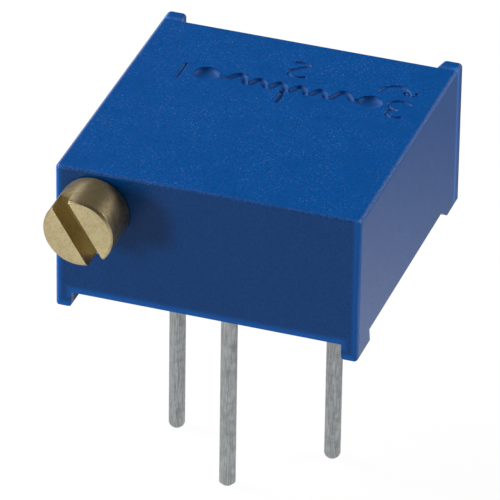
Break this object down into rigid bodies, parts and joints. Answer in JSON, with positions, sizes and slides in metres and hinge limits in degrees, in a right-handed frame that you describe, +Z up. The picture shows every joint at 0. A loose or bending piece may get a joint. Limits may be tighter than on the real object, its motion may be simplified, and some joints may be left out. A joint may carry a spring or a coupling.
{
  "type": "multiturn trimmer potentiometer",
  "caption": "Square sealed trimmer potentiometer for a circuit board, with a slotted brass screw in one side and round wire pins below.",
  "frame": {"origin": "on the axis of pin 1, in the plane of the four feet where the part stands on the board", "axes": "+X along the front face from pin 1 towards pin 3, +Y back from the screw head, +Z up, away from the board"},
  "size_m": [0.0095, 0.0116, 0.0116],
  "materials": {
    "housing": "moulded thermoplastic, satin with a fine grain",
    "brass": "turned, plain",
    "seal": "silicone",
    "clip": "stamped",
    "wheel": "moulded, natural colour",
    "spring_alloy": "rolled spring strip",
    "alumina": "fired, unglazed",
    "resistive_film": "fired film",
    "conductive_film": "fired silver film",
    "potting": "cured resin",
    "tinned_wire": "tinned, drawn",
    "solder": "solidified"
  },
  "bodies": {
    "case": {"housing": "housing", "retaining_clip": "clip", "element_substrate": "alumina", "resistive_track": "resistive_film", "collector": "conductive_film", "end_termination_1": "conductive_film", "end_termination_3": "conductive_film", "potting": "potting", "pin_1": "tinned_wire", "pin_2": "tinned_wire", "pin_3": "tinned_wire", "solder_joint_1": "solder", "solder_joint_2": "solder", "solder_joint_3": "solder"},
    "screw": {"adjustment_screw": "brass", "shaft_seal": "seal"},
    "wiper": {"worm_gear": "wheel", "contact_spring": "spring_alloy", "track_brush": "spring_alloy", "collector_brush": "spring_alloy"}
  },
  "joints": [
    {"name": "screw_turn", "type": "hinge", "parent": "case", "child": "screw", "pos_m": [-0.00096, 0, 0.00356], "axis": [0, 1, 0], "range_deg": [-4500, 4500]},
    {"name": "wiper_gear_turn", "type": "hinge", "parent": "case", "child": "wiper", "pos_m": [0.00254, 0, 0], "axis": [0, 0, 1], "range_deg": [-150, 150]}
  ],
  "couplings": [
    {"joint": "wiper_gear_turn", "follows": "screw_turn", "ratio": -0.033333}
  ]
}
